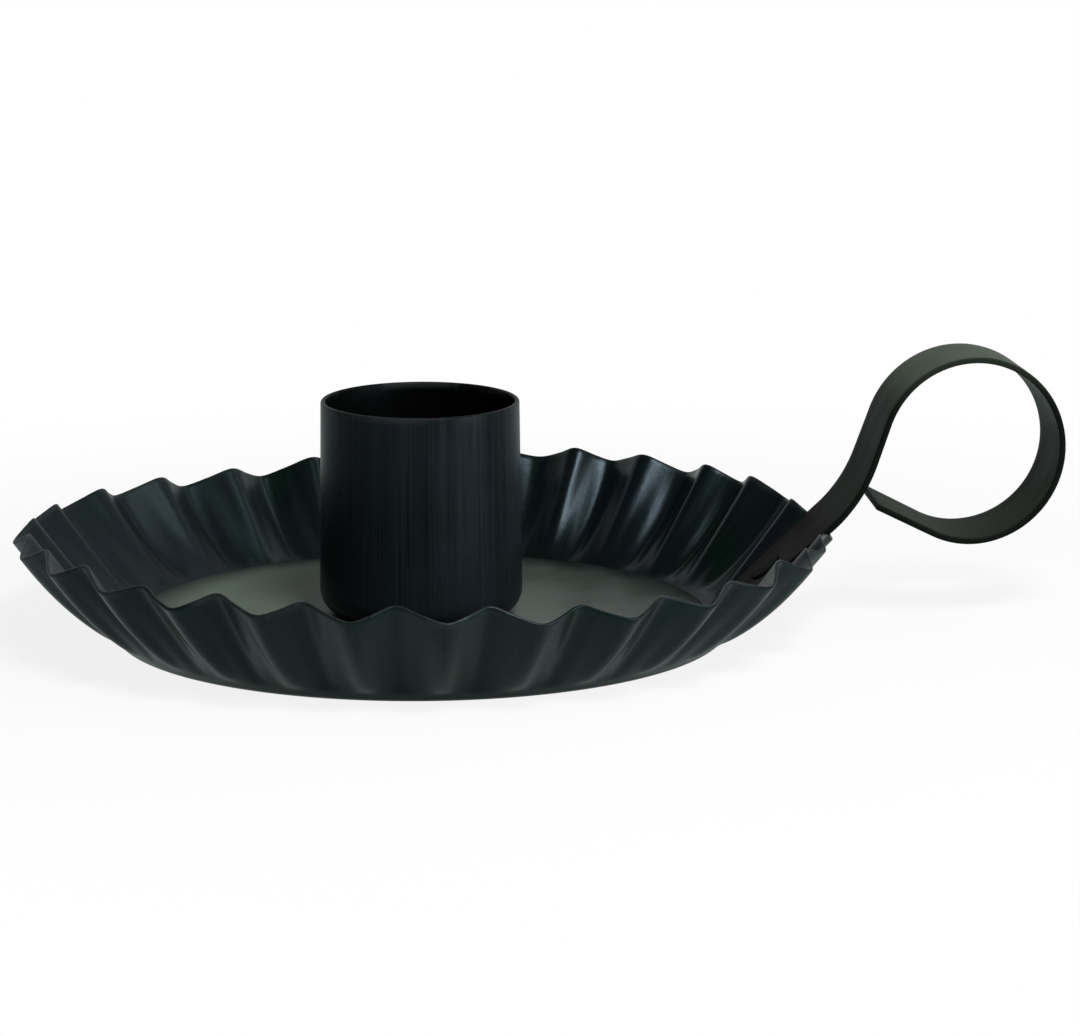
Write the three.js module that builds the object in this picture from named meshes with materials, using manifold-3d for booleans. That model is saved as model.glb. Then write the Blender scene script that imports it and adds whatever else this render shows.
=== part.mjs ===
// A chamberstick for one taper candle, made of thin black-painted sheet metal: a fluted dish pressed from
// one blank, a drawn cup standing in it, and a strap handle that lies in the dish wall, rises over the rim
// and curls into a finger loop. Two rivets hold it together and nothing moves.
// Millimetres, +Z up, the handle towards +X, the dish standing on its pressed ring at z = 0.
import * as THREE from 'three';
import { mergeVertices } from 'three/addons/utils/BufferGeometryUtils.js';
import Module from 'manifold-3d';

const degree = Math.PI / 180;

// Dish, measured to the middle of its sheet; floorLift is the height that its floor is pressed up
const dishSheet = 0.5;
const rimRadius = 50.5;
const rimHeight = 13.2;
const ringRadius = 37.2;
const ringWidth = 0.8;
const ringBend = 2.0;
const floorLift = 2.3;
const stepBend = 1.0;
const stepAngle = 70 * degree;

// Flutes, crimped square to the wall: deepest at the rim and fading out towards the ring
const fluteCount = 27;
const fluteDepth = 1.27;
const fluteFade = 1.3;

// Flat pressed in the wall for the strap, with the ridges beside it spread to make room
const seatDepth = 1.7;
const seatFade = 0.8;
const seatMargin = 0.4;
const seatSpread = 2.2 * degree;
const seatReach = 40 * degree;

// Cup for the candle, measured to its outer face at the widest; the draft narrows it towards the lip
const cupRadius = 12.8;
const cupWall = 0.6;
const cupHeight = 27.5;
const cupBend = 4.4;
const cupDraft = 0.7 * degree;

// Strap handle, measured to the middle of its thickness
const strapWidth = 9.5;
const strapThickness = 0.8;
const footInset = 4.0;
const lipRun = 1.3;
const neckBend = 18;
const neckAngle = 70.5 * degree;
const neckRun = 5.7;
const loopRadius = 11.6;
const tailAngle = 25 * degree;
const tailRun = 7.9;

// Rivets and the room left round pieces that are drilled or lie at a slant
const shankRadius = 1.3;
const headRadius = 2.4;
const headThickness = 0.8;
const tailRadius = 2.2;
const tailThickness = 0.9;
const rivetChamfer = 0.35;
const rivetInset = 4.4;
const clearance = 0.3;

// How finely round forms are divided
const stepsPerFlute = 6;
const wallRows = 4;
const seatSteps = 5;
const cupSegments = 64;
const rivetSegments = 24;
const loopSteps = 40;

const holeRadius = shankRadius + clearance;
const wasm = await Module();
wasm.setup();

const paint = (color, roughness) => new THREE.MeshStandardMaterial({ color, roughness, metalness: 0.1 });
const satinBlack = paint(0x20272a, 0.45);
const cupBlack = paint(0x171c20, 0.4);
const strapBlack = paint(0x262c2b, 0.45);
const rivetBlack = paint(0x15191b, 0.5);

// Middle line of a bent strip as stations, from straight runs and round turns; a turn to the left is positive
function walkStrip(x, z, heading, moves) {
  const stations = [{ x, z, heading, part: 0 }];
  moves.forEach(({ run, turn = 0, radius, steps = 1 }, move) => {
    const half = turn / steps / 2;
    const chord = turn ? 2 * radius * Math.sin(Math.abs(half)) : run / steps;
    for (let i = 1; i <= steps; i++) {
      heading += half;
      x += chord * Math.cos(heading);
      z += chord * Math.sin(heading);
      heading += half;
      stations.push({ x, z, heading, move, part: i / steps });
    }
  });
  return stations;
}

// The point a given height above a station's middle line, on its left
function raise({ x, z, heading }, height) {
  return new THREE.Vector2(x - height * Math.sin(heading), z + height * Math.cos(heading));
}

// Closed outline of a strip of this thickness: along its right face and back along its left one
function stripOutline(stations, thickness) {
  const right = stations.map((station) => raise(station, -thickness / 2));
  const left = stations.map((station) => raise(station, thickness / 2));
  return [...right, ...left.reverse()];
}

// A profile of radius and height turned about the Z axis, with its first facet corner on +X
function turn(profile, segments) {
  return new THREE.LatheGeometry(profile, segments, Math.PI / 2).rotateX(Math.PI / 2);
}

function solidOf(geometry) {
  const bare = geometry.clone();
  bare.deleteAttribute('normal');
  bare.deleteAttribute('uv');
  const merged = mergeVertices(bare, 1e-5);
  const vertProperties = new Float32Array(merged.attributes.position.array);
  const triVerts = new Uint32Array(merged.index.array);
  return new wasm.Manifold(new wasm.Mesh({ numProp: 3, vertProperties, triVerts }));
}

// The geometry with a rivet hole drilled through it at a point, along a direction
function drill(geometry, point, direction, depth) {
  const bit = new THREE.CylinderGeometry(holeRadius, holeRadius, depth, rivetSegments);
  bit.applyQuaternion(new THREE.Quaternion().setFromUnitVectors(new THREE.Vector3(0, 1, 0), direction));
  bit.translate(point.x, point.y, point.z);
  const { vertProperties, triVerts } = solidOf(geometry).subtract(solidOf(bit)).getMesh();
  const drilled = new THREE.BufferGeometry();
  drilled.setAttribute('position', new THREE.BufferAttribute(vertProperties, 3));
  drilled.setIndex(new THREE.BufferAttribute(triVerts, 1));
  drilled.computeVertexNormals();
  return drilled;
}

// Wall of the dish: the straight line from the rim that just meets the bend above the ring
const bendHeight = dishSheet / 2 + ringBend;
const rimSpan = Math.hypot(rimRadius - ringRadius, rimHeight - bendHeight);
const wallAngle = Math.atan2(rimHeight - bendHeight, rimRadius - ringRadius) + Math.asin(ringBend / rimSpan);
const wallLength = Math.sqrt(rimSpan ** 2 - ringBend ** 2);
const wallFoot = {
  x: ringRadius + ringBend * Math.sin(wallAngle),
  z: bendHeight - ringBend * Math.cos(wallAngle),
};

// How far the crimp pushes the wall outwards, at a share of the way up it and an angle round it
const seatAngle = Math.asin((strapWidth / 2 + seatMargin) / rimRadius);
const seatRidge = Math.PI / fluteCount + seatSpread;
function crimp(share, angle) {
  const away = Math.abs(angle);
  const spread = seatSpread * (1 - THREE.MathUtils.smoothstep(away, seatRidge, seatReach));
  const swell = Math.sin(share * Math.PI / 2);
  const flute = fluteDepth * Math.cos(fluteCount * (away - spread)) * swell ** fluteFade;
  const seat = seatDepth * swell ** seatFade;
  return THREE.MathUtils.lerp(seat, flute, THREE.MathUtils.smoothstep(away, seatAngle, seatRidge));
}

// Radius and height of the wall at a share of the way up it, that far outside its middle
function wallPoint(share, outwards) {
  return {
    r: wallFoot.x + share * wallLength * Math.cos(wallAngle) + outwards * Math.sin(wallAngle),
    z: wallFoot.z + share * wallLength * Math.sin(wallAngle) - outwards * Math.cos(wallAngle),
  };
}

// Dish: its sheet walked from the rivet hole out over the step and the ring to the rim, turned, then crimped
const floorTop = floorLift + dishSheet;
const stepRun = (floorLift - 2 * stepBend * (1 - Math.cos(stepAngle))) / Math.sin(stepAngle);
const stepWidth = 2 * stepBend * Math.sin(stepAngle) + stepRun * Math.cos(stepAngle);
const floorRadius = ringRadius - ringWidth - stepWidth;
const dishMoves = [
  { run: floorRadius - holeRadius },
  { turn: -stepAngle, radius: stepBend, steps: 2 },
  { run: stepRun },
  { turn: stepAngle, radius: stepBend, steps: 2 },
  { run: ringWidth },
  { turn: wallAngle, radius: ringBend, steps: 2 },
  { run: wallLength, steps: wallRows },
];
function dishGeometry() {
  const stations = walkStrip(holeRadius, floorLift + dishSheet / 2, 0, dishMoves);
  const outline = stripOutline(stations, dishSheet);
  const shares = stations.map(({ move, part }) => (move === dishMoves.length - 1 ? part : 0));
  const rows = [...shares, ...shares.toReversed(), shares[0]];
  const dish = turn([...outline, outline[0]], fluteCount * stepsPerFlute);
  const { position } = dish.attributes;
  for (let i = 0; i < position.count; i++) {
    const [x, y, z] = [position.getX(i), position.getY(i), position.getZ(i)];
    const angle = Math.atan2(y, x);
    const outwards = crimp(rows[i % rows.length], angle);
    const stretch = 1 + outwards * Math.sin(wallAngle) / Math.hypot(x, y);
    position.setXYZ(i, x * stretch, y * stretch, z - outwards * Math.cos(wallAngle));
  }
  return dish;
}

// Cup: its sheet walked from the rivet hole along its floor, round the corner and up to the lip
function cupGeometry() {
  const cupTurn = Math.PI / 2 + cupDraft;
  const wallHeight = cupHeight - cupWall / 2 - cupBend * (1 - Math.cos(cupTurn));
  const stations = walkStrip(holeRadius, floorTop + cupWall / 2, 0, [
    { run: cupRadius - cupWall / 2 - cupBend - holeRadius },
    { turn: cupTurn, radius: cupBend, steps: 5 },
    { run: wallHeight / Math.sin(cupTurn) },
  ]);
  const outline = stripOutline(stations, cupWall);
  return turn([...outline, outline[0]], cupSegments);
}

// Strap seat: the line just clear of the pressed flat, judged along the strap's middle and its two edges
const footShare = footInset / wallLength;
const seatShares = Array.from({ length: seatSteps + 1 }, (_, i) => footShare + (1 - footShare) * i / seatSteps);
function seatPoint(share, side) {
  const middle = wallPoint(share, 0).r;
  const { r, z } = wallPoint(share, crimp(share, Math.asin(side / middle)) - dishSheet / 2);
  return new THREE.Vector2(Math.sqrt(r ** 2 - side ** 2), z);
}
const seatFoot = seatPoint(footShare, strapWidth / 2);
const seatHeading = seatPoint(1, strapWidth / 2).sub(seatFoot).angle();
const seatNormal = new THREE.Vector2(-Math.sin(seatHeading), Math.cos(seatHeading));
const seatRise = Math.max(
  ...seatShares.flatMap((share) =>
    [0, strapWidth / 2].map((side) => seatPoint(share, side).sub(seatFoot).dot(seatNormal))),
);
const strapFoot = seatFoot.clone().addScaledVector(seatNormal, seatRise + clearance + strapThickness / 2);

// Strap: up the seat, over the rim, steeper along the neck, round the loop clockwise and back along the tail
const seatRun = seatPoint(1, 0).distanceTo(seatPoint(footShare, 0)) + lipRun;
function strapGeometry() {
  const stations = walkStrip(strapFoot.x, strapFoot.y, seatHeading, [
    { run: seatRun },
    { turn: neckAngle - seatHeading, radius: neckBend, steps: 5 },
    { run: neckRun },
    { turn: -(neckAngle + Math.PI + tailAngle), radius: loopRadius, steps: loopSteps },
    { run: tailRun },
  ]);
  const shape = new THREE.Shape(stripOutline(stations, strapThickness));
  const strap = new THREE.ExtrudeGeometry(shape, { depth: strapWidth, bevelEnabled: false });
  return strap.rotateX(Math.PI / 2).translate(0, strapWidth / 2, 0);
}

// Rivet standing on its tail's inner face, with this much sheet between tail and head
function rivetGeometry(grip) {
  const profile = [
    [0, -tailThickness],
    [tailRadius - rivetChamfer, -tailThickness],
    [tailRadius, rivetChamfer - tailThickness],
    [tailRadius, 0],
    [shankRadius, 0],
    [shankRadius, grip],
    [headRadius, grip],
    [headRadius, grip + headThickness - rivetChamfer],
    [headRadius - rivetChamfer, grip + headThickness],
    [0, grip + headThickness],
  ];
  return turn(profile.map(([r, z]) => new THREE.Vector2(r, z)), rivetSegments);
}

// Handle rivet: square to the strap, reaching through the wall to just clear of the bulge outside it
const handleUp = new THREE.Vector3(seatNormal.x, 0, seatNormal.y);
const strapMiddle = new THREE.Vector3(
  strapFoot.x + rivetInset * Math.cos(seatHeading),
  0,
  strapFoot.y + rivetInset * Math.sin(seatHeading),
);
const rivetShare = (footInset + rivetInset) / wallLength;
const wallReach = Math.max(
  ...[-tailRadius, 0, tailRadius].map((along) => {
    const share = rivetShare + along / wallLength;
    const { r, z } = wallPoint(share, crimp(share, 0) + dishSheet / 2);
    return strapMiddle.clone().sub(new THREE.Vector3(r, 0, z)).dot(handleUp);
  }),
);
const handleGrip = wallReach + strapThickness / 2 + 2 * clearance;

function piece(name, geometry, material) {
  const mesh = new THREE.Mesh(geometry, material);
  mesh.name = name;
  return mesh;
}

const drillDepth = 4 * handleGrip;
const dish = piece('fluted_dish', drill(dishGeometry(), strapMiddle, handleUp, drillDepth), satinBlack);
const cup = piece('candle_cup', cupGeometry(), cupBlack);
const strap = piece('handle_strap', drill(strapGeometry(), strapMiddle, handleUp, drillDepth), strapBlack);
const cupRivet = piece('cup_rivet', rivetGeometry(dishSheet + cupWall), rivetBlack);
cupRivet.position.z = floorLift;
const handleRivet = piece('handle_rivet', rivetGeometry(handleGrip), rivetBlack);
handleRivet.quaternion.setFromUnitVectors(new THREE.Vector3(0, 0, 1), handleUp);
handleRivet.position.copy(strapMiddle).addScaledVector(handleUp, -wallReach - clearance);

// The origin is on the table under the middle of the whole length
const holder = new THREE.Group().add(dish, cup, strap, cupRivet, handleRivet);
const extent = new THREE.Box3().setFromObject(holder, true);
holder.position.x = -extent.getCenter(new THREE.Vector3()).x;

export default holder;
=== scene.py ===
import math

import bpy
import numpy as np
from mathutils import Matrix, Vector


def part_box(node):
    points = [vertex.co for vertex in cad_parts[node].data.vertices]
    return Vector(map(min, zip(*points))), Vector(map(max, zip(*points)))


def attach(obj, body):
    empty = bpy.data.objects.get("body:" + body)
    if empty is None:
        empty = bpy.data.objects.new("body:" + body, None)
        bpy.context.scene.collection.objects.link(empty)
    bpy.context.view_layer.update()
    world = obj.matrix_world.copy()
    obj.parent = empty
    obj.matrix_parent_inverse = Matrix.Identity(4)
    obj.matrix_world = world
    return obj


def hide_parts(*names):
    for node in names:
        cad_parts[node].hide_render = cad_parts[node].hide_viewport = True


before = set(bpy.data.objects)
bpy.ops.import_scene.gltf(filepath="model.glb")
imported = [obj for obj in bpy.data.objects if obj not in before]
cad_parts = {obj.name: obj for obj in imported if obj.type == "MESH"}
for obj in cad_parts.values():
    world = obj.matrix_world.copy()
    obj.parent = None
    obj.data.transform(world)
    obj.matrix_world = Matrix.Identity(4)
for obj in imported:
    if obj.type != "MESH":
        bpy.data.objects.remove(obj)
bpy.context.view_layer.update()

# A fluted chamberstick in black satin enamel. Sizes are millimetres until a mesh is made.
mm = 0.001
degree = math.pi / 180
cupLow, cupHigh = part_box("candle_cup")
axisX = (cupLow.x + cupHigh.x) / 2 / mm      # the candle's upright axis
print("frame loaded, candle axis at x =", round(axisX, 2), "mm")


# Smooth step: 3 t^2 - 2 t^3 of the share t of the way from low to high
def ease(value, low, high):
    t = np.clip((value - low) / (high - low), 0, 1)
    return t * t * (3 - 2 * t)


# Sum of soft bumps on a ring: each is high * exp(-(gap / wide)^2), gap being the angle from its place
def softBumps(angle, places):
    total = np.zeros_like(angle)
    for place, high, wide in places:
        gap = (angle - place * degree + np.pi) % (2 * np.pi) - np.pi
        total = total + high * np.exp(-(gap / (wide * degree)) ** 2)
    return total


# Middle line of a bent strip: runs and turns laid end to end, each a length, a turn and a number of steps.
# On a turn of signed radius R the heading sweeps evenly from h to k, so x grows by R (sin k - sin h) and z
# by R (cos h - cos k).
def walkStrip(start, heading, moves):
    places = [np.array([start], float)]
    headings = [np.array([heading], float)]
    for length, turn, steps in moves:
        share = np.linspace(0, 1, steps + 1)[1:]
        now = headings[-1][-1]
        ahead = now + turn * share
        if turn:
            radius = length / turn
            gone = radius * np.stack([np.sin(ahead) - np.sin(now), np.cos(now) - np.cos(ahead)], 1)
        else:
            gone = length * share[:, None] * np.array([math.cos(now), math.sin(now)])
        places.append(places[-1][-1] + gone)
        headings.append(ahead)
    return np.concatenate(places), np.concatenate(headings)


# A move that turns by an angle on a radius
def bend(radius, turn, steps):
    return radius * abs(turn), turn, steps


# A sheet round a middle surface that closes in its first direction: its two faces lie half a thickness along
# the normal, and its two open edges are half circles. Also gives each column's distance from the outer edge.
def sheetShell(middle, thickness, edgeSteps):
    along = np.gradient(middle, axis=1)
    along /= np.linalg.norm(along, axis=2, keepdims=True)
    around = np.roll(middle, -1, 0) - np.roll(middle, 1, 0)
    normal = np.cross(along, around)
    normal /= np.linalg.norm(normal, axis=2, keepdims=True)
    half = thickness / 2
    swing = np.linspace(0, np.pi, edgeSteps + 2)[1:-1, None]

    def roundEdge(end, way):
        up, out = normal[:, end, None], way * along[:, end, None]
        return middle[:, end, None] + half * (np.cos(swing) * up + np.sin(swing) * out)

    top = middle + half * normal
    under = (middle - half * normal)[:, ::-1]
    grid = np.concatenate([top, roundEdge(-1, 1), under, roundEdge(0, -1)[:, ::-1]], axis=1)
    steps = np.linalg.norm(np.diff(middle[0], axis=0), axis=1)
    toEdge = np.append(np.cumsum(steps[::-1])[::-1], 0)
    far = np.full(edgeSteps, toEdge[0])
    return grid, np.concatenate([toEdge, np.zeros(edgeSteps), toEdge[::-1], far])


# A closed mesh from a grid that closes in its second direction, and in its first one or else has flat ends.
# The UV map is millimetres round the first direction and along the second. Faces are turned outwards.
def makePiece(name, grid, closed, edge, material, nodes):
    rows, columns = grid.shape[:2]
    index = np.arange(rows * columns).reshape(rows, columns)
    nextRow, nextColumn = np.roll(index, -1, 0), np.roll(index, -1, 1)
    quads = np.stack([index, nextRow, np.roll(nextRow, -1, 1), nextColumn], 2)
    quads = quads if closed else quads[:-1]
    points = grid.reshape(-1, 3)
    corners = (points - points.mean(axis=0))[quads.reshape(-1, 4)]
    volume = np.einsum("ij,ij->", corners[:, 0], np.cross(corners[:, 1], corners[:, 2]))
    volume += np.einsum("ij,ij->", corners[:, 0], np.cross(corners[:, 2], corners[:, 3]))
    order = [0, 1, 2, 3] if volume > 0 else [3, 2, 1, 0]
    faces = quads.reshape(-1, 4)[:, order].tolist()
    if not closed:
        ends = [index[0].tolist(), index[-1][::-1].tolist()]
        faces += ends if volume > 0 else [end[::-1] for end in ends]
    mesh = bpy.data.meshes.new(name)
    mesh.from_pydata((points * mm).tolist(), [], faces)

    acrossStep = np.linalg.norm(np.roll(grid, -1, 0) - grid, axis=2).mean(1)
    alongStep = np.linalg.norm(np.roll(grid, -1, 1) - grid, axis=2).mean(0)
    across = np.concatenate([[0], np.cumsum(acrossStep)])
    along = np.concatenate([[0], np.cumsum(alongStep)])
    rowOf, columnOf = np.indices(quads.shape[:2])
    rowAt = rowOf[..., None] + np.array([0, 1, 1, 0])
    columnAt = columnOf[..., None] + np.array([0, 0, 1, 1])
    flat = np.stack([across[rowAt], along[columnAt]], -1)[:, :, order].reshape(-1, 2)
    spare = np.zeros((len(mesh.loops) - len(flat), 2))
    layer = mesh.uv_layers.new(name="sheetMap")
    layer.data.foreach_set("uv", np.concatenate([flat, spare]).ravel().astype(np.float32))
    mark = mesh.attributes.new("edgeGap", "FLOAT", "POINT")
    mark.data.foreach_set("value", np.broadcast_to(edge, (rows, columns)).ravel().astype(np.float32))
    mesh.polygons.foreach_set("use_smooth", np.ones(len(mesh.polygons), bool))
    mesh.materials.append(material)
    mesh.update()
    piece = bpy.data.objects.new(name, mesh)
    bpy.context.scene.collection.objects.link(piece)
    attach(piece, "root")
    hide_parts(*nodes)
    print(name, "made,", rows, "by", columns, "points")


# sRGB hex to linear colour
def linear(hexCode):
    channels = [int(hexCode[i:i + 2], 16) / 255 for i in (1, 3, 5)]
    return [c / 12.92 if c <= 0.04045 else ((c + 0.055) / 1.055) ** 2.4 for c in channels] + [1.0]


# Texture scale for a pattern of this many millimetres, on coordinates in metres
def perMetre(size):
    return 1 / (size * mm)


# Adds a node with its settings, and feeds its sockets with values or with other nodes' sockets
def addNode(tree, kind, settings, feeds):
    node = tree.nodes.new(kind)
    for name, value in settings.items():
        setattr(node, name, value)
    for name, value in feeds.items():
        if isinstance(value, bpy.types.NodeSocket):
            tree.links.new(value, node.inputs[name])
        else:
            node.inputs[name].default_value = value
    return node


# A sum, product or comparison of values or sockets
def addMath(tree, operation, *terms):
    return addNode(tree, "ShaderNodeMath", {"operation": operation}, dict(enumerate(terms))).outputs[0]


# The colour that lies this share of the way from one to another
def addBlend(tree, share, first, second):
    return addNode(tree, "ShaderNodeMix", {"data_type": "RGBA"}, {0: share, 6: first, 7: second}).outputs[2]


# Goes from first to last as a value goes from low to high, evenly or as a smooth step
def addRange(tree, shape, value, low, high, first=0.0, last=1.0):
    return addNode(tree, "ShaderNodeMapRange", {"interpolation_type": shape}, {
        "Value": value, "From Min": low, "From Max": high, "To Min": first, "To Max": last}).outputs["Result"]


# Noise from 0 to 1
def addNoise(tree, vector, scale, detail, roughness):
    return addNode(tree, "ShaderNodeTexNoise", {}, {
        "Vector": vector, "Scale": scale, "Detail": detail, "Roughness": roughness}).outputs["Fac"]


# How far a place lies inside a round of this radius about the candle's axis: softly from 0 to 1, and 0 up to
# this height
def addInside(tree, place, radius, soft, height):
    fromAxis = addNode(tree, "ShaderNodeVectorMath", {"operation": "SUBTRACT"}, {
        0: place, 1: (axisX * mm, 0, 0)}).outputs["Vector"]
    flat = addNode(tree, "ShaderNodeVectorMath", {"operation": "MULTIPLY"}, {
        0: fromAxis, 1: (1, 1, 0)}).outputs["Vector"]
    distance = addNode(tree, "ShaderNodeVectorMath", {"operation": "LENGTH"}, {0: flat}).outputs["Value"]
    inside = addRange(tree, "SMOOTHSTEP", distance, (radius + soft) * mm, (radius - soft) * mm)
    rise = addNode(tree, "ShaderNodeSeparateXYZ", {}, {0: place}).outputs["Z"]
    return addMath(tree, "MULTIPLY", inside, addMath(tree, "GREATER_THAN", rise, height * mm))


# How far a place lies from one point on an axis of the object towards another, as a smooth share from 0 to 1
def addTowards(tree, place, axis, low, high):
    along = addNode(tree, "ShaderNodeSeparateXYZ", {}, {0: place}).outputs[axis]
    return addRange(tree, "SMOOTHSTEP", along, low * mm, high * mm)


# What the enamel has everywhere: the detail and roughness of its noises and the spans of them that show, the
# height of its bumps and its index of refraction
enamel = {
    "cloudNoise": (5.0, 0.6), "cloudSpan": (0.32, 0.68),
    "peelNoise": (2.0, 0.5),
    "dragNoise": (4.0, 0.65), "dragSpan": (0.35, 0.65),
    "bumpHeight": 0.05, "refraction": 1.5,
}


# Black satin enamel, sprayed thin on tinplate and stoved. The eye sees a blue-green black that is never quite
# even: cloudy patches, a fine orange peel, drag lines left in the metal by the die, and edges that are rubbed
# paler on the dish and the cup and dark on the strap.
def blackSatinEnamel(name, look):
    material = bpy.data.materials.new(name)
    material.use_nodes = True
    tree = material.node_tree
    tree.nodes.clear()
    place = addNode(tree, "ShaderNodeTexCoord", {}, {}).outputs["Object"]
    sheetMap = addNode(tree, "ShaderNodeUVMap", {"uv_map": "sheetMap"}, {}).outputs["UV"]
    edgeGap = addNode(tree, "ShaderNodeAttribute", {"attribute_name": "edgeGap"}, {}).outputs["Fac"]

    cloud = addNoise(tree, place, perMetre(look["cloud"]), *enamel["cloudNoise"])
    grit = addNoise(tree, place, perMetre(look["peel"]), *enamel["peelNoise"])
    stretched = addNode(tree, "ShaderNodeMapping", {}, {
        "Vector": sheetMap, "Scale": (1 / look["dragWidth"], 1 / look["dragLength"], 1)}).outputs["Vector"]
    drag = addNoise(tree, stretched, 1.0, *enamel["dragNoise"])
    cloudShare = addRange(tree, "LINEAR", cloud, *enamel["cloudSpan"])
    dragShare = addRange(tree, "LINEAR", drag, *enamel["dragSpan"])

    colour = addBlend(tree, cloudShare, linear(look["dark"]), linear(look["pale"]))
    dragShown = addMath(tree, "MULTIPLY", dragShare, look["dragShow"])
    colour = addBlend(tree, dragShown, colour, linear(look["dragColor"]))
    sheen = addNode(tree, "ShaderNodeMix", {"data_type": "FLOAT"}, {
        0: cloudShare, 2: look["roughLow"], 3: look["roughHigh"]}).outputs[0]
    roughness = addNode(tree, "ShaderNodeMath", {"operation": "MULTIPLY_ADD", "use_clamp": True}, {
        0: dragShare, 1: look["dragRough"], 2: sheen}).outputs[0]

    # Haze on the side away from the handle, inside the dish only, where its map counts millimetres from the
    # centre hole
    if "haze" in look:
        along = addNode(tree, "ShaderNodeSeparateXYZ", {}, {0: sheetMap}).outputs["Y"]
        within = addMath(tree, "LESS_THAN", along, look["hazeReach"])
        hazy = addMath(tree, "MULTIPLY", within, addTowards(tree, place, "X", *look["hazePlaces"]))
        roughness = addMath(tree, "MULTIPLY_ADD", hazy, look["haze"], roughness)

    # Painted light and shade inside the piece, rougher and broken up by the clouds: on the dish a painted
    # reflection that makes the floor pale, on the cup painted shade that makes the inside black
    if "paintedLightShade" in look:
        inside = addInside(tree, place, look["paintedLightShadeRadius"], look["paintedLightShadeSoft"], look["paintedLightShadeHeight"])
        patchy = addMath(tree, "MULTIPLY_ADD", cloudShare, 1 - look["paintedLightShadeEven"], look["paintedLightShadeEven"])
        paintedLightShadeShare = addMath(tree, "MULTIPLY", inside, patchy)
        # Painted shade: towards the handle side, the painted reflection on the dish's floor keeps only a
        # share of itself
        if "paintedLightShadePlaces" in look:
            side = addTowards(tree, place, "X", *look["paintedLightShadePlaces"])
            weaker = addRange(tree, "LINEAR", side, 0.0, 1.0, look["paintedLightShadeNear"])
            paintedLightShadeShare = addMath(tree, "MULTIPLY", paintedLightShadeShare, weaker)
        colour = addBlend(tree, paintedLightShadeShare, colour, linear(look["paintedLightShade"]))
        roughness = addMath(tree, "MULTIPLY_ADD", paintedLightShadeShare, look["paintedLightShadeRough"], roughness)

    # Painted light and shade on the strap: paler towards the top of the loop, which the light from above
    # falls on, and darker along towards the foot, which lies in shade inside the dish
    for mark, axis in (("paintedTopLight", "Z"), ("paintedFootShade", "X")):
        if mark in look:
            paintedShare = addTowards(tree, place, axis, *look[mark + "Places"])
            colour = addBlend(tree, paintedShare, colour, linear(look[mark]))

    # Rubbed edges: strongest on the cut edge, gone within the rub width, broken up by the clouds
    nearEdge = addRange(tree, "SMOOTHSTEP", edgeGap, 0.0, look["rubWidth"], 1.0, 0.0)
    broken = addRange(tree, "SMOOTHSTEP", cloud, *look["rubPatch"])
    rubbed = addMath(tree, "MULTIPLY", addMath(tree, "MULTIPLY", nearEdge, broken), look["rub"])
    colour = addBlend(tree, rubbed, colour, linear(look["rubColor"]))

    peelBump = addNode(tree, "ShaderNodeBump", {}, {
        "Strength": look["peelBump"], "Distance": enamel["bumpHeight"] * mm,
        "Height": grit}).outputs["Normal"]
    dragBump = addNode(tree, "ShaderNodeBump", {}, {
        "Strength": look["dragBump"], "Distance": enamel["bumpHeight"] * mm,
        "Height": drag, "Normal": peelBump}).outputs["Normal"]
    shader = addNode(tree, "ShaderNodeBsdfPrincipled", {}, {
        "Base Color": colour, "Roughness": roughness, "Normal": dragBump, "IOR": enamel["refraction"],
        "Specular IOR Level": look["gloss"], "Specular Tint": linear(look["glossTint"])})
    addNode(tree, "ShaderNodeOutputMaterial", {}, {"Surface": shader.outputs["BSDF"]})
    return material


dishEnamel = blackSatinEnamel("black satin enamel on pressed tinplate", {
    "dark": "#06140e", "pale": "#101219", "cloud": 9.0, "peel": 0.7, "peelBump": 0.2,
    "dragWidth": 0.6, "dragLength": 14.0, "dragColor": "#151f1c", "dragShow": 0.35, "dragRough": 0.06,
    "dragBump": 0.12, "rubWidth": 0.9, "rub": 0.4, "rubColor": "#313634", "rubPatch": (0.42, 0.6),
    "roughLow": 0.19, "roughHigh": 0.26, "gloss": 0.2, "glossTint": "#c2dcec",
    # Painted reflection on the dish's floor, pale green-grey, weaker towards the handle as painted shade
    "paintedLightShade": "#647265", "paintedLightShadeRadius": 33.3, "paintedLightShadeSoft": 4.2, "paintedLightShadeHeight": 2.4, "paintedLightShadeEven": 0.7,
    "paintedLightShadeRough": 0.2, "paintedLightShadePlaces": (axisX + 25, axisX - 20), "paintedLightShadeNear": 0.3,
    "haze": 0.18, "hazeReach": 56.6, "hazePlaces": (axisX - 5, axisX - 25)})
cupEnamel = blackSatinEnamel("black satin enamel on a drawn cup", {
    "dark": "#0c1211", "pale": "#15181e", "cloud": 7.0, "peel": 0.6, "peelBump": 0.2,
    "dragWidth": 0.4, "dragLength": 60.0, "dragColor": "#232a2d", "dragShow": 0.55, "dragRough": 0.06,
    "dragBump": 0.06, "rubWidth": 0.7, "rub": 0.5, "rubColor": "#2f3332", "rubPatch": (0.42, 0.6),
    "roughLow": 0.27, "roughHigh": 0.35, "gloss": 0.07, "glossTint": "#cfe6f2",
    # Painted shade inside the cup, near black
    "paintedLightShade": "#020202", "paintedLightShadeRadius": 12.33, "paintedLightShadeSoft": 0.08, "paintedLightShadeHeight": 4.6, "paintedLightShadeEven": 0.9,
    "paintedLightShadeRough": 0.1})
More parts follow.
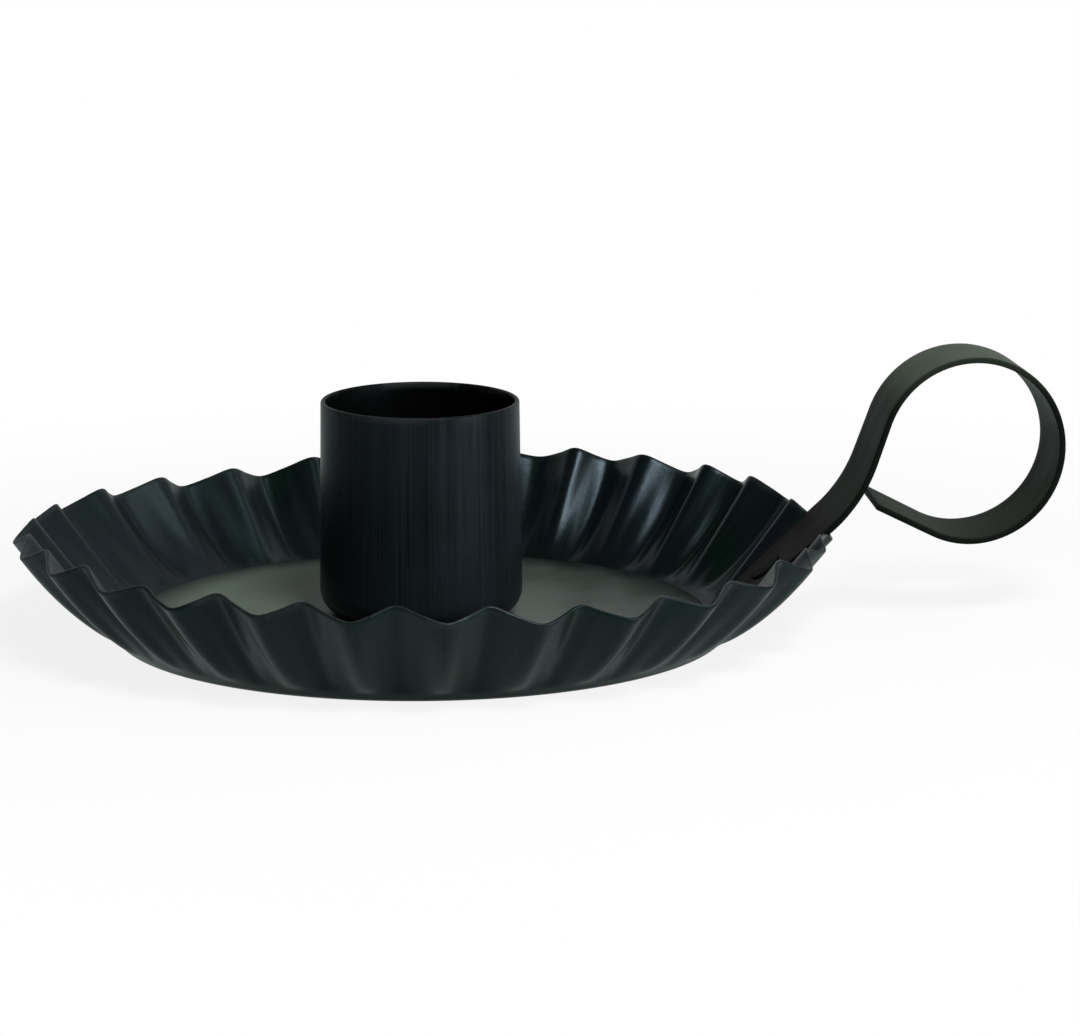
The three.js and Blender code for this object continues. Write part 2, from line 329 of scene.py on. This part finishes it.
strapEnamel = blackSatinEnamel("black satin enamel on bent strip", {
    "dark": "#101912", "pale": "#18231a", "cloud": 6.0, "peel": 0.6, "peelBump": 0.3,
    "dragWidth": 20.0, "dragLength": 0.5, "dragColor": "#1c231c", "dragShow": 0.35, "dragRough": 0.10,
    "dragBump": 0.12, "rubWidth": 0.3, "rub": 0.85, "rubColor": "#050605", "rubPatch": (0.1, 0.2),
    "roughLow": 0.44, "roughHigh": 0.54, "gloss": 0.075, "glossTint": "#e4f0e4",
    # Painted light on the top of the loop, and painted shade towards the foot
    "paintedTopLight": "#475246", "paintedTopLightPlaces": (27.0, 33.5), "paintedFootShade": "#020302", "paintedFootShadePlaces": (40.0, 35.0)})
rivetEnamel = blackSatinEnamel("black satin enamel over flat rivet heads", {
    "dark": "#030403", "pale": "#050706", "cloud": 2.5, "peel": 0.5, "peelBump": 0.3,
    "dragWidth": 3.0, "dragLength": 0.4, "dragColor": "#0a0e0c", "dragShow": 0.3, "dragRough": 0.08,
    "dragBump": 0.1, "rubWidth": 0.3, "rub": 0.2, "rubColor": "#262a27", "rubPatch": (0.42, 0.6),
    "roughLow": 0.42, "roughHigh": 0.52, "gloss": 0.045, "glossTint": "#dcece8"})
print("materials made")


# Fluted dish. Crimped by hand on a former, so a few flutes sit a degree or two off their even places and the
# rim is a little out of flat. Slips, bends and deep flutes are lists of a place in degrees from the handle,
# an amount and a width in degrees.
dish = {
    "sheet": 0.5, "holeRadius": 1.6, "rimRadius": 50.5, "rimHeight": 13.2,
    "ringRadius": 37.2, "ringWidth": 0.3, "ringBend": 2.0, "wallBulge": 0.45,
    "floorLift": 2.3, "stepBend": 0.5, "stepAngle": 80 * degree,
    "flutes": 27, "fluteDepth": 1.27, "fluteStart": 0.08, "fluteFade": 0.65,
    "foldInside": 0.045, "foldOutside": 0.22, "foldBoth": 0.06, "foldLower": 0.16, "lean": 0.1,
    "seatDepth": 1.7, "seatFade": 0.8, "seatTilt": 0.4, "seatHalfWidth": 5.15, "seatSpread": 2.2 * degree,
    "seatReachFar": 40 * degree, "seatReachNear": 24 * degree,
    "slips": [(24, 1.6, 9), (63, -2.0, 7), (151, 1.2, 7), (-78, -0.7, 38)],
    "rimBends": [(-138, -0.8, 8), (112, -0.8, 17), (-92, 0.4, 12), (-35, 0.4, 7), (-19, -0.8, 9),
                 (40, -0.3, 7)],
    "deepFlutes": [(112, 0.2, 22), (32, 0.12, 10), (-9, -1.5, 4)],
    "twist": 0.84, "twistTurn": 17 * degree, "levelTo": 8 * degree, "liftedFrom": 20 * degree,
    "columnsPerFlute": 22, "floorSteps": 8, "stepSteps": 6, "flatSteps": 3, "ringSteps": 10,
    "wallSteps": 34, "edgeSteps": 5,
}


# Straight wall from the rim that just meets the bend above the ring: its slope and length
bendHeight = dish["sheet"] / 2 + dish["ringBend"]
wallReach = (dish["rimRadius"] - dish["ringRadius"], dish["rimHeight"] - bendHeight)
wallSpan = math.hypot(*wallReach)
wallAngle = math.atan2(wallReach[1], wallReach[0]) + math.asin(dish["ringBend"] / wallSpan)
wallLength = math.sqrt(wallSpan ** 2 - dish["ringBend"] ** 2)


# How far the crimp pushes the wall out: depth * swell^fade * wave. The wave is cos t + second * cos 2t +
# third * cos 3t, where t is flutes * angle less a lean of its own cosine, and second and third tighten the
# folds more towards the foot. The swell is a quarter sine that starts a little above the foot. The wall also
# bulges by 4 share (1 - share), and under the strap all this gives way to a flat, slightly tilted seat.
def crimp(share, angle):
    away = np.abs(angle)
    seatAngle = math.asin(dish["seatHalfWidth"] / dish["rimRadius"])
    seatRidge = math.pi / dish["flutes"] + dish["seatSpread"]
    reach = np.where(angle > 0, dish["seatReachFar"], dish["seatReachNear"])
    spread = dish["seatSpread"] * (1 - ease(away, seatRidge, reach))
    slip = softBumps(angle, dish["slips"]) * degree * ease(away, seatAngle, 2 * seatRidge)
    grown = np.clip((share - dish["fluteStart"]) / (1 - dish["fluteStart"]), 0, 1)
    swell = np.sin(grown * np.pi / 2)
    turns = dish["flutes"] * (np.sign(angle) * (away - spread) - slip)
    turns = turns - dish["lean"] * np.cos(turns)
    second = dish["foldOutside"] * (1 - share) - dish["foldInside"]
    third = dish["foldBoth"] + dish["foldLower"] * (1 - share)
    wave = np.cos(turns) + second * np.cos(2 * turns) + third * np.cos(3 * turns)
    depth = dish["fluteDepth"] / (1 + dish["foldBoth"]) * (1 + softBumps(angle, dish["deepFlutes"]))
    flute = depth * wave * swell ** dish["fluteFade"] + dish["wallBulge"] * 4 * share * (1 - share)
    tilted = dish["seatDepth"] - dish["seatTilt"] * np.clip(angle / seatAngle, -1, 1)
    seat = tilted * np.sin(share * np.pi / 2) ** dish["seatFade"]
    return seat + (flute - seat) * ease(away, seatAngle, seatRidge)


# Middle of the dish's sheet: the walked profile turned about the axis, pushed along the wall's normal by the
# crimp, and lifted by the rim's twist, high * sin(2 angle + turn), and its bends. The lift grows up the wall
# and is nothing at the handle.
def dishMiddle(angle, radius, height, share):
    out = crimp(share, angle)
    lifted = ease(np.abs(angle), dish["levelTo"], dish["liftedFrom"])
    lift = dish["twist"] * np.sin(2 * angle + dish["twistTurn"]) + softBumps(angle, dish["rimBends"])
    r = radius + out * math.sin(wallAngle)
    z = height - out * math.cos(wallAngle) + lift * lifted * share
    return np.stack([axisX + r * np.cos(angle), r * np.sin(angle), z], -1)


def makeDish():
    rise = dish["floorLift"] - 2 * dish["stepBend"] * (1 - math.cos(dish["stepAngle"]))
    stepRun = rise / math.sin(dish["stepAngle"])
    stepWidth = 2 * dish["stepBend"] * math.sin(dish["stepAngle"]) + stepRun * math.cos(dish["stepAngle"])
    floorRun = dish["ringRadius"] - dish["ringWidth"] - stepWidth - dish["holeRadius"]
    wallSteps = dish["wallSteps"]
    profile, _ = walkStrip((dish["holeRadius"], dish["floorLift"] + dish["sheet"] / 2), 0, [
        (floorRun, 0, dish["floorSteps"]),
        bend(dish["stepBend"], -dish["stepAngle"], dish["stepSteps"]),
        (stepRun, 0, dish["flatSteps"]),
        bend(dish["stepBend"], dish["stepAngle"], dish["stepSteps"]),
        (dish["ringWidth"], 0, dish["flatSteps"]),
        bend(dish["ringBend"], wallAngle, dish["ringSteps"]),
        (wallLength, 0, wallSteps),
    ])
    share = np.concatenate([np.zeros(len(profile) - wallSteps), np.linspace(0, 1, wallSteps + 1)[1:]])
    columns = dish["flutes"] * dish["columnsPerFlute"]
    angle = np.linspace(-np.pi, np.pi, columns + 1)[:-1, None]
    middle = dishMiddle(angle, profile[None, :, 0], profile[None, :, 1], share[None, :])
    grid, toEdge = sheetShell(middle, dish["sheet"], dish["edgeSteps"])
    makePiece("fluted_dish_sheet", grid, True, toEdge, dishEnamel, ["fluted_dish"])


makeDish()


# Candle cup, drawn from a disc: a flat floor, a round corner and a wall that narrows a little to its lip
cup = {
    "radius": (cupHigh.x - cupLow.x) / 2 / mm, "floor": cupLow.z / mm, "height": (cupHigh.z - cupLow.z) / mm,
    "wall": 0.6, "corner": 3.1, "draft": 0.7 * degree, "holeRadius": 1.6, "outOfRound": 0.06,
    "linePlace": 254.6 * degree, "lineDepth": 0.1, "lineHalf": 0.22, "lineLow": 11.0, "lineHigh": 24.5,
    "lineFade": 3.0, "lineReach": 2.2, "lineColumns": 19, "lineClear": 0.01,
    "columns": 192, "floorSteps": 4, "cornerSteps": 16, "wallSteps": 14, "edgeSteps": 7,
}


# The walked profile turned about the axis, with a slight oval, outOfRound * cos(2 angle), that grows up the
# wall, and one upright draw line, a groove of depth * exp(-(gap / half)^2) that fades out at its ends, with
# columns close together there
def makeCup():
    turn = math.pi / 2 + cup["draft"]
    wallHeight = cup["height"] - cup["wall"] / 2 - cup["corner"] * (1 - math.cos(turn))
    profile, _ = walkStrip((cup["holeRadius"], cup["floor"] + cup["wall"] / 2), 0, [
        (cup["radius"] - cup["wall"] / 2 - cup["corner"] - cup["holeRadius"], 0, cup["floorSteps"]),
        bend(cup["corner"], turn, cup["cornerSteps"]),
        ((wallHeight - cup["wall"] / 2) / math.sin(turn), 0, cup["wallSteps"]),
    ])
    even = np.linspace(0, 2 * np.pi, cup["columns"] + 1)[:-1]
    lineSpan = np.linspace(-cup["lineReach"], cup["lineReach"], cup["lineColumns"])
    lineAngles = lineSpan * cup["lineHalf"] / cup["radius"]
    clear = even[np.abs(even - cup["linePlace"]) > lineAngles[-1] + cup["lineClear"]]
    angle = np.sort(np.concatenate([clear, cup["linePlace"] + lineAngles]))[:, None]
    rise = (profile[:, 1] - cup["floor"]) / cup["height"]
    z = profile[None, :, 1]
    gap = (angle - cup["linePlace"]) * cup["radius"] / cup["lineHalf"]
    begun = ease(z, cup["lineLow"], cup["lineLow"] + cup["lineFade"])
    ended = ease(z, cup["lineHigh"] - cup["lineFade"], cup["lineHigh"])
    groove = cup["lineDepth"] * np.exp(-gap ** 2) * (begun * (1 - ended))
    r = profile[None, :, 0] + cup["outOfRound"] * np.cos(2 * angle) * rise - groove
    z = np.broadcast_to(z, r.shape)
    middle = np.stack([axisX + r * np.cos(angle), r * np.sin(angle), z], -1)
    grid, toEdge = sheetShell(middle, cup["wall"], cup["edgeSteps"])
    makePiece("candle_cup_shell", grid, True, toEdge, cupEnamel, ["candle_cup"])


makeCup()


# Strap handle: one bent strip, from its foot in the dish over the rim, round the loop and back along its
# tail. Turns and leans are lists of a distance along it in millimetres and an angle in degrees.
strapLow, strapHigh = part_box("handle_strap")
strap = {
    "width": (strapHigh.y - strapLow.y) / mm, "thickness": 0.8, "edgeRound": 0.25, "endRound": 0.12,
    "leastRound": 0.02, "footAhead": 0.39, "footUp": 0.22, "seatRun": 14.43, "seatAngle": 41.25 * degree,
    "neckBend": 18.7, "neckAngle": 69.6 * degree, "neckRun": 5.6,
    "loopRadii": [11.8, 11.85, 11.55, 11.2], "tailAngle": 27.9 * degree, "tailRun": 8.2,
    "turns": [(0, 0), (14, 4.2), (22, 4.9), (29, 4.3), (44, 5.6), (62, 4.6), (80, 4.6), (94, 1.9)],
    "leans": [(0, 0), (14, 4.7), (22, 1.5), (29, -0.3), (44, 1.0), (62, 2.1), (80, 4.6), (94, 5.0)],
    "seatSteps": 16, "bendSteps": 18, "neckSteps": 8, "loopSteps": [36, 44, 44, 14], "tailSteps": 10,
    "cornerPoints": 6, "faceSteps": 10, "endSteps": 3,
}


# Middle line, the directions ahead, across and up from the strip at each of its points, and the distance
# gone. It is walked in the handle's upright plane. The strip was bent by hand, so its across direction is
# turned aside about the upright and leans, and the line drifts sideways to stay square to that direction.
def strapLine():
    foot = (strapLow.x / mm + strap["footAhead"], strapLow.z / mm + strap["footUp"])
    loopTurns = [-strap["neckAngle"], -math.pi / 2, -math.pi / 2, -strap["tailAngle"]]
    line, heading = walkStrip(foot, strap["seatAngle"], [
        (strap["seatRun"], 0, strap["seatSteps"]),
        bend(strap["neckBend"], strap["neckAngle"] - strap["seatAngle"], strap["bendSteps"]),
        (strap["neckRun"], 0, strap["neckSteps"]),
        *map(bend, strap["loopRadii"], loopTurns, strap["loopSteps"]),
        (strap["tailRun"], 0, strap["tailSteps"]),
    ])
    steps = np.linalg.norm(np.diff(line, axis=0), axis=1)
    gone = np.concatenate([[0], np.cumsum(steps)])
    turn = np.interp(gone, *zip(*strap["turns"])) * degree
    lean = np.interp(gone, *zip(*strap["leans"])) * degree
    across = np.stack([-np.sin(turn) * np.cos(lean), np.cos(turn) * np.cos(lean), np.sin(lean)], 1)
    slope = -(np.cos(heading) * across[:, 0] + np.sin(heading) * across[:, 2]) / across[:, 1]
    drift = np.concatenate([[0], np.cumsum((slope[1:] + slope[:-1]) / 2 * steps)])
    ahead = np.stack([np.cos(heading), slope, np.sin(heading)], 1)
    ahead /= np.linalg.norm(ahead, axis=1, keepdims=True)
    places = np.stack([line[:, 0], drift, line[:, 1]], 1)
    return places, ahead, across, np.cross(ahead, across), gone


# A rectangle with round corners, inset by this much: points round it as across and up from its middle, and
# the distance of each from the strip's long edges
def strapSection(inset):
    halfWidth = strap["width"] / 2 - inset
    halfThick = strap["thickness"] / 2 - inset
    corner = max(strap["edgeRound"] - inset, strap["leastRound"])
    swing = np.linspace(0, np.pi / 2, strap["cornerPoints"])
    arc = np.stack([np.cos(swing), np.sin(swing)], 1) * corner
    across = np.linspace(1, -1, strap["faceSteps"] + 1)[1:-1, None]
    centre = np.array([halfWidth - corner, halfThick - corner])
    topRight = centre + arc
    topLeft = topRight[::-1] * [-1, 1]
    top = np.concatenate([across * centre[0], np.full_like(across, halfThick)], 1)
    upper = np.concatenate([topRight, top, topLeft])
    section = np.concatenate([upper, -upper])
    return section, strap["width"] / 2 - np.abs(section[:, 0])


# The section carried along the line, square to it, its ends rounded by insetting the last few sections
def makeStrap():
    places, ahead, across, up, _ = strapLine()
    extra = strap["endSteps"]
    swing = np.linspace(0, np.pi / 2, extra + 1)[1:]
    inset = strap["endRound"] * (1 - np.cos(swing))
    out = strap["endRound"] * np.sin(swing)[:, None]
    places[0] += strap["endRound"] * ahead[0]
    places[-1] -= strap["endRound"] * ahead[-1]
    insets = np.concatenate([inset[::-1], np.zeros(len(places)), inset])
    places = np.concatenate([(places[0] - ahead[0] * out)[::-1], places, places[-1] + ahead[-1] * out])
    across = np.pad(across, [(extra, extra), (0, 0)], mode="edge")
    up = np.pad(up, [(extra, extra), (0, 0)], mode="edge")
    sections = np.stack([strapSection(cut)[0] for cut in insets])
    toEdge = strapSection(0)[1]
    grid = places[:, None] + sections[:, :, :1] * across[:, None] + sections[:, :, 1:] * up[:, None]
    makePiece("handle_strap_strip", grid, False, toEdge[None, :], strapEnamel,
              ["handle_strap"])


makeStrap()


# Rivets: a round shank with a low flat head and an upset tail, both rounded at the edge
rivet = {
    "shank": 1.3, "head": 2.2, "headThick": 0.28, "headRound": 0.24, "tail": 2.2, "tailThick": 0.9,
    "tailRound": 0.45, "flatShare": 0.25, "inset": 4.4, "seatGap": 0.03, "wallFrom": 0.1, "wallTo": 0.9,
    "wallPlaces": 200, "columns": 64, "roundPoints": 8,
}


# A circle carried up the profile of tail, shank and head, the rounded edges being quarter circles. Also gives
# how far each point of the profile lies, across, from the head's edge.
def rivetGrid(grip):
    swing = np.linspace(0, np.pi / 2, rivet["roundPoints"])
    tailRound, headRound = rivet["tailRound"], rivet["headRound"]
    tailTop, headTop = -rivet["tailThick"], grip + rivet["headThick"]
    tailEdge = np.stack([rivet["tail"] - tailRound * (1 - np.sin(swing)),
                         tailTop + tailRound * (1 - np.cos(swing))], 1)
    headEdge = np.stack([rivet["head"] - headRound * (1 - np.cos(swing)),
                         headTop - headRound * (1 - np.sin(swing))], 1)
    profile = np.concatenate([
        [[rivet["flatShare"] * rivet["tail"], tailTop]], tailEdge,
        [[rivet["tail"], 0], [rivet["shank"], 0], [rivet["shank"], grip], [rivet["head"], grip]],
        headEdge, [[rivet["flatShare"] * rivet["head"], headTop]]])
    angle = np.linspace(0, 2 * np.pi, rivet["columns"] + 1)[None, :-1]
    r = profile[:, 0, None]
    z = np.broadcast_to(profile[:, 1, None], (len(profile), rivet["columns"]))
    return np.stack([r * np.cos(angle), r * np.sin(angle), z], -1), np.abs(r - rivet["head"])


def makeCupRivet():
    grid, edge = rivetGrid(dish["sheet"] + cup["wall"] + 2 * rivet["seatGap"])
    placed = grid + np.array([axisX, 0, dish["floorLift"] - rivet["seatGap"]])
    makePiece("cup_rivet_body", placed, False, edge, rivetEnamel, ["cup_rivet"])


# Square to the strap near its foot, reaching through the wall: its length is the greatest distance from the
# strap's middle to the wall's outer face under the tail
def makeHandleRivet():
    places, aheads, acrosses, ups, gone = strapLine()
    at = np.searchsorted(gone, rivet["inset"])
    middle, ahead, across, up = places[at], aheads[at], acrosses[at], ups[at]
    share = np.linspace(rivet["wallFrom"], rivet["wallTo"], rivet["wallPlaces"])
    foot = dish["ringRadius"] + dish["ringBend"] * math.sin(wallAngle)
    footHeight = bendHeight - dish["ringBend"] * math.cos(wallAngle)
    r = foot + share * wallLength * math.cos(wallAngle)
    z = footHeight + share * wallLength * math.sin(wallAngle)
    wall = dishMiddle(np.zeros_like(share), r, z, share) - middle
    under = np.abs(wall @ ahead) < rivet["tail"]
    reach = (-(wall[under] @ up)).max() + dish["sheet"] / 2 + rivet["seatGap"]
    grid, edge = rivetGrid(reach + strap["thickness"] / 2 + rivet["seatGap"])
    placed = grid @ np.stack([ahead, across, up]) + middle - reach * up
    makePiece("handle_rivet_body", placed, False, edge, rivetEnamel, ["handle_rivet"])


makeCupRivet()
makeHandleRivet()


# Studio: a pale floor that fades into white, a white surround behind, a dark room on the camera's side. Its
# lengths are metres, apart from the shade's, which are millimetres.
studio = {
    "floorColor": "#f4f4f4", "floorHalf": 3.0, "fadeFrom": 0.08, "fadeTo": 0.16,
    "surround": 0.75, "room": 0.03, "ambient": 0.11, "nearWhite": 0.86,
    "surroundFrom": 0.2, "surroundTo": 0.75,
    "mirroredFront": 0.45, "mirroredBack": 0.75, "mirroredFrom": -0.1, "mirroredTo": 0.06,
    "mirroredColor": "#ebfaf7", "seenColor": "#ffffff",
    "shadeRadius": 42.0, "shadeSoft": 8.0, "shadeLevel": 0.5, "shadeHeight": -1.0, "aimHeight": 0.015,
    "topPower": 0.5, "topSize": 0.25, "topDistance": 0.7, "topTurn": 105 * degree, "topRise": 50 * degree,
    "keyPower": 2.8, "keySize": 0.18, "keyDistance": 0.6, "keyTurn": 14 * degree, "keyRise": 52 * degree,
    "fillPower": 6.6, "fillSize": 0.6, "fillDistance": 0.9, "fillTurn": 52 * degree, "fillRise": 8 * degree,
}


# Matt white paper sweep. The camera sees the paper's shadow through a veil of white; the enamel mirrors a
# floor that is a little cool, and darker towards the camera and in the shade under the dish.
def makeFloor():
    half = studio["floorHalf"]
    corners = [(-half, -half, 0), (half, -half, 0), (half, half, 0), (-half, half, 0)]
    mesh = bpy.data.meshes.new("studio_floor")
    mesh.from_pydata(corners, [], [(0, 1, 2, 3)])
    floor = bpy.data.objects.new("studio_floor", mesh)
    bpy.context.scene.collection.objects.link(floor)
    material = bpy.data.materials.new("matt white paper sweep")
    material.use_nodes = True
    tree = material.node_tree
    tree.nodes.clear()
    place = addNode(tree, "ShaderNodeTexCoord", {}, {}).outputs["Object"]
    distance = addNode(tree, "ShaderNodeVectorMath", {"operation": "LENGTH"}, {0: place}).outputs["Value"]
    fade = addRange(tree, "SMOOTHSTEP", distance, studio["fadeFrom"], studio["fadeTo"])
    path = addNode(tree, "ShaderNodeLightPath", {}, {}).outputs
    byCamera = path["Is Camera Ray"]
    veil = addRange(tree, "LINEAR", fade, 0.0, 1.0, studio["nearWhite"])
    seen = addMath(tree, "MULTIPLY", veil, byCamera)
    mirrored = addMath(tree, "MAXIMUM", path["Is Glossy Ray"], path["Is Transmission Ray"])
    share = addMath(tree, "MAXIMUM", seen, mirrored)
    depth = addNode(tree, "ShaderNodeSeparateXYZ", {}, {0: place}).outputs["Y"]
    lit = addRange(tree, "SMOOTHSTEP", depth, studio["mirroredFrom"], studio["mirroredTo"],
                   studio["mirroredFront"], studio["mirroredBack"])
    under = addInside(tree, place, studio["shadeRadius"], studio["shadeSoft"], studio["shadeHeight"])
    shade = addRange(tree, "LINEAR", under, 0.0, 1.0, 1.0, studio["shadeLevel"])
    level = addMath(tree, "MAXIMUM", byCamera, addMath(tree, "MULTIPLY", lit, shade))
    tone = addBlend(tree, byCamera, linear(studio["mirroredColor"]), linear(studio["seenColor"]))
    paper = addNode(tree, "ShaderNodeBsdfDiffuse", {}, {
        "Color": linear(studio["floorColor"])}).outputs["BSDF"]
    white = addNode(tree, "ShaderNodeEmission", {}, {"Color": tone, "Strength": level}).outputs["Emission"]
    mixed = addNode(tree, "ShaderNodeMixShader", {}, {0: share, 1: paper, 2: white}).outputs["Shader"]
    addNode(tree, "ShaderNodeOutputMaterial", {}, {"Surface": mixed})
    mesh.materials.append(material)


# The camera's place, its target, from the candle's axis, and its focal length in pixels of the photo's width
view = {
    "turn": -8 * degree, "rise": 11.83 * degree, "roll": -0.22 * degree, "distance": 1000.0,
    "target": (14.94, -2.10, 15.0), "focalPixels": 7901.6, "framePixels": 1080, "sensor": 36.0,
    "clipNear": 0.01, "clipFar": 20.0,
}


# Unit vector from the object towards a place this far round from -Y and this far up
def towards(turn, rise):
    return Vector((math.sin(turn) * math.cos(rise), -math.cos(turn) * math.cos(rise), math.sin(rise)))


# The surround is pure white to the camera, and dim and even where it lights matt paint
def makeSurround():
    world = bpy.data.worlds.new("studio surround")
    bpy.context.scene.world = world
    world.use_nodes = True
    tree = world.node_tree
    tree.nodes.clear()
    way = addNode(tree, "ShaderNodeTexCoord", {}, {}).outputs["Generated"]
    depth = addNode(tree, "ShaderNodeVectorMath", {"operation": "DOT_PRODUCT"}, {
        0: way, 1: -towards(view["turn"], 0)}).outputs["Value"]
    level = addRange(tree, "SMOOTHSTEP", depth, studio["surroundFrom"], studio["surroundTo"],
                     studio["room"], studio["surround"])
    path = addNode(tree, "ShaderNodeLightPath", {}, {}).outputs
    bright = addMath(tree, "MAXIMUM", level, path["Is Camera Ray"])
    strength = addNode(tree, "ShaderNodeMix", {"data_type": "FLOAT"}, {
        0: path["Is Diffuse Ray"], 2: bright, 3: studio["ambient"]}).outputs[0]
    surround = addNode(tree, "ShaderNodeBackground", {}, {"Strength": strength})
    addNode(tree, "ShaderNodeOutputWorld", {}, {"Surface": surround.outputs["Background"]})


# A square softbox
def makeLamp(name, power, size, place, aim):
    lamp = bpy.data.lights.new(name, "AREA")
    lamp.shape = "SQUARE"
    lamp.size = size
    lamp.energy = power
    holder = bpy.data.objects.new(name, lamp)
    bpy.context.scene.collection.objects.link(holder)
    holder.location = place
    holder.rotation_mode = "QUATERNION"
    holder.rotation_quaternion = (aim - place).to_track_quat("-Z", "Y")


def makeCamera():
    x, y, z = view["target"]
    target = Vector(((axisX + x) * mm, y * mm, z * mm))
    back = towards(view["turn"], view["rise"])
    data = bpy.data.cameras.new("camera")
    data.sensor_width = view["sensor"]
    data.lens = view["focalPixels"] / view["framePixels"] * view["sensor"]
    data.clip_start = view["clipNear"]
    data.clip_end = view["clipFar"]
    camera = bpy.data.objects.new("camera", data)
    bpy.context.scene.collection.objects.link(camera)
    facing = (-back).to_track_quat("-Z", "Y").to_matrix()
    turned = facing @ Matrix.Rotation(view["roll"], 3, "Z")
    camera.matrix_world = Matrix.Translation(target + back * view["distance"] * mm) @ turned.to_4x4()
    bpy.context.scene.camera = camera


makeFloor()
makeSurround()
makeCamera()
middlePoint = Vector((0, 0, studio["aimHeight"]))
for lamp in ("top", "key", "fill"):
    aim = towards(studio[lamp + "Turn"], studio[lamp + "Rise"])
    place = middlePoint + aim * studio[lamp + "Distance"]
    makeLamp(lamp + " softbox", studio[lamp + "Power"], studio[lamp + "Size"], place, middlePoint)
bpy.context.scene.view_settings.view_transform = "Standard"
print("studio, lamps and camera made")
